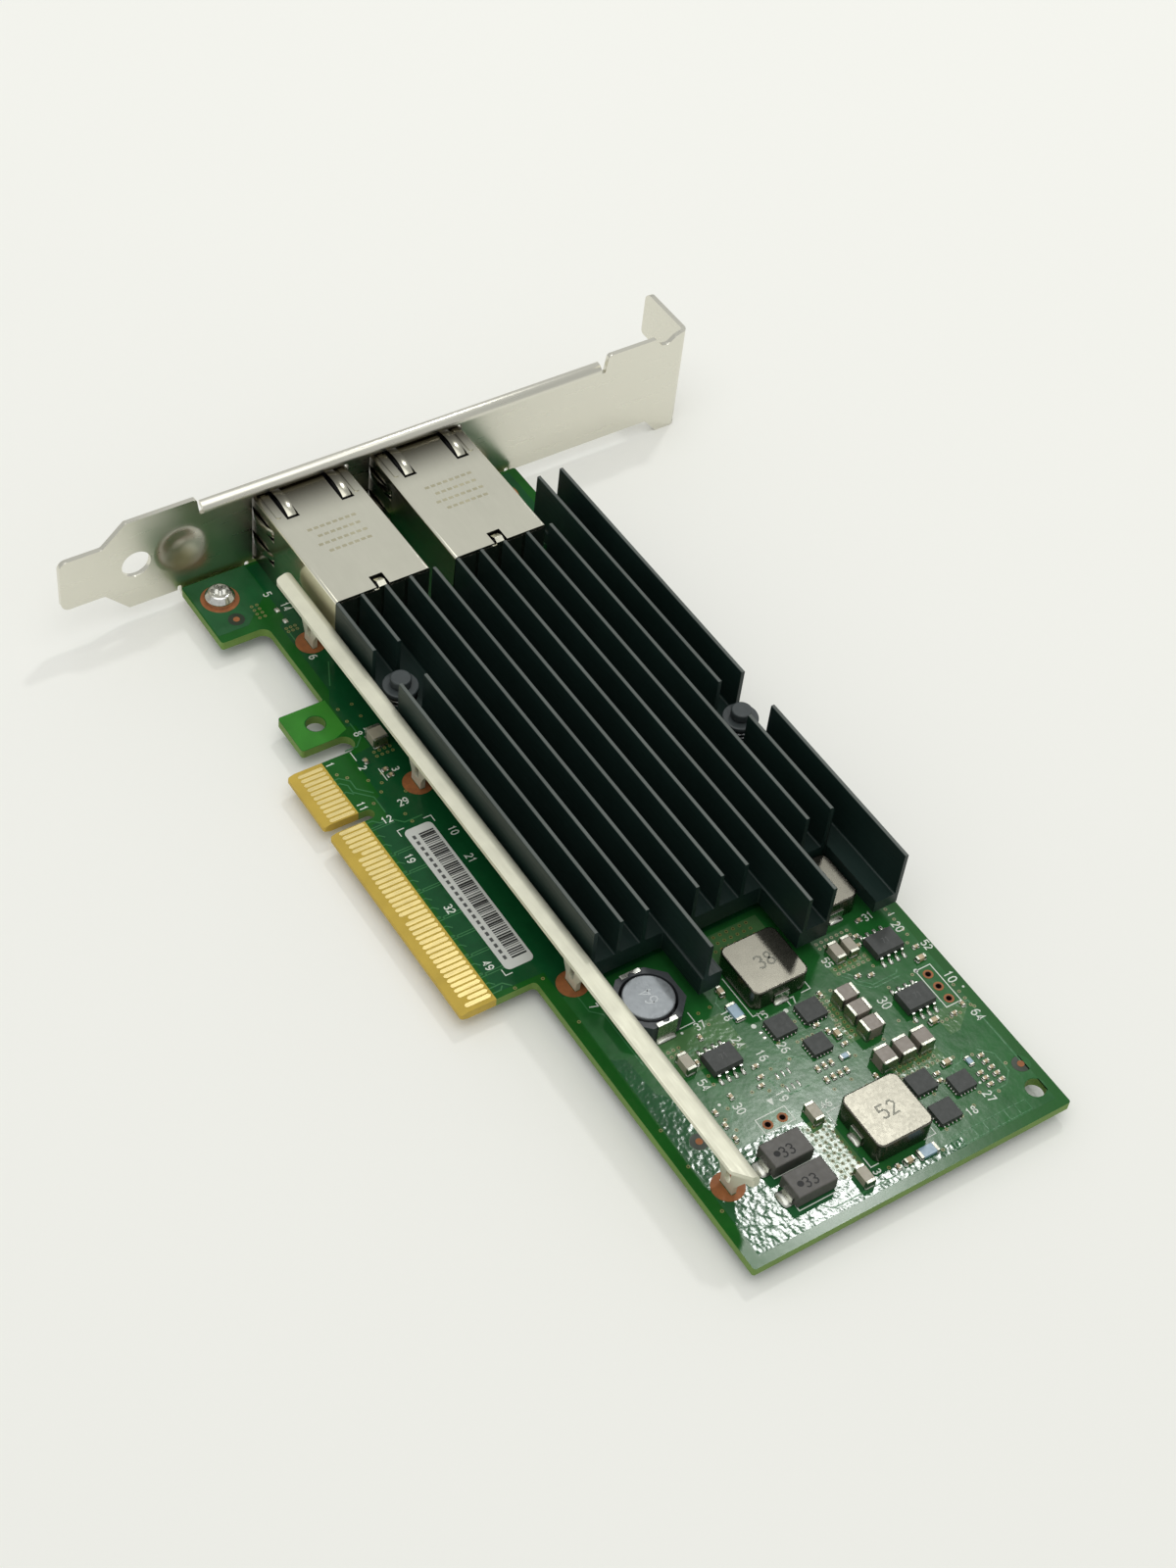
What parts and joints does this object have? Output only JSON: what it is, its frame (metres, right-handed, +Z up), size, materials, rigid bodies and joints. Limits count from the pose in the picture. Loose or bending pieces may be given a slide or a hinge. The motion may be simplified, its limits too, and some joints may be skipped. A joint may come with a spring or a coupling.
{
  "type": "network interface card",
  "caption": "Expansion card with a finned heat sink, a pair of shielded modular jacks, a gold edge connector, a stiffening strip and a full-height metal bracket.",
  "frame": {"origin": "centre line of the edge connector's key notch at its mating edge, in the plane of the board's component face", "axes": "+X from the bracket to the free end, +Y from the mating edge to the board's top edge, +Z up from the component face"},
  "size_m": [0.1655, 0.12, 0.0214],
  "materials": {
    "board_laminate": "green solder mask over fibreglass",
    "gold_plating": "gold plated copper",
    "bare_copper": "bare copper, slightly dull",
    "label_paper": "coated paper",
    "nickel_steel": "nickel plated steel sheet",
    "bright_steel": "zinc plated steel",
    "black_nylon": "black moulded nylon",
    "black_anodised": "black anodised extrusion",
    "dark_nylon": "dark moulded nylon",
    "spring_steel": "drawn spring wire",
    "chip_substrate": "green chip carrier",
    "nickel_copper": "nickel plated lid",
    "thermal_compound": "soft heat pad",
    "tinned_strip": "matt tin plated strip",
    "inductor_powder": "pressed metal powder",
    "tinned_terminal": "tinned terminals",
    "dark_ferrite": "sintered ferrite",
    "enamelled_wire": "enamelled copper wire",
    "moulded_epoxy": "black moulded epoxy",
    "capacitor_ceramic": "fired ceramic",
    "resistor_glaze": "dark glazed top"
  },
  "bodies": {
    "root": {"bracket": "nickel_steel", "bracket_screws": "bright_steel", "chip_resistors": "resistor_glaze", "chip_resistors_ends": "tinned_terminal", "circuit_board": "board_laminate", "controller_lid": "nickel_copper", "controller_substrate": "chip_substrate", "driver_1": "moulded_epoxy", "driver_2": "moulded_epoxy", "driver_3": "moulded_epoxy", "driver_4": "moulded_epoxy", "driver_5": "moulded_epoxy", "driver_6": "moulded_epoxy", "driver_pads": "tinned_terminal", "drum_inductor_clips": "tinned_terminal", "drum_inductor_core": "dark_ferrite", "drum_inductor_shell": "dark_ferrite", "drum_inductor_winding": "enamelled_wire", "edge_contacts_back": "gold_plating", "edge_contacts_front": "gold_plating", "ground_pads": "bare_copper", "heatsink": "black_anodised", "jack_1_contacts": "gold_plating", "jack_1_housing": "black_nylon", "jack_1_shield": "nickel_steel", "jack_2_contacts": "gold_plating", "jack_2_housing": "black_nylon", "jack_2_shield": "nickel_steel", "label": "label_paper", "large_capacitors": "capacitor_ceramic", "large_capacitors_ends": "tinned_terminal", "medium_capacitors": "capacitor_ceramic", "medium_capacitors_ends": "tinned_terminal", "power_inductor_1": "inductor_powder", "power_inductor_1_clips": "tinned_terminal", "power_inductor_2": "inductor_powder", "power_inductor_2_clips": "tinned_terminal", "power_inductor_3": "inductor_powder", "power_inductor_3_clips": "tinned_terminal", "push_pin_1": "dark_nylon", "push_pin_2": "dark_nylon", "push_pin_spring_1": "spring_steel", "push_pin_spring_2": "spring_steel", "regulator_1": "moulded_epoxy", "regulator_1_leads": "tinned_terminal", "regulator_2": "moulded_epoxy", "regulator_2_leads": "tinned_terminal", "regulator_3": "moulded_epoxy", "regulator_3_leads": "tinned_terminal", "small_capacitors": "capacitor_ceramic", "small_capacitors_ends": "tinned_terminal", "stiffener": "tinned_strip", "tantalum_capacitor_1": "moulded_epoxy", "tantalum_capacitor_1_leads": "tinned_terminal", "tantalum_capacitor_2": "moulded_epoxy", "tantalum_capacitor_2_leads": "tinned_terminal", "thermal_pad": "thermal_compound", "tiny_parts": "capacitor_ceramic", "tiny_parts_ends": "tinned_terminal"}
  },
  "joints": []
}
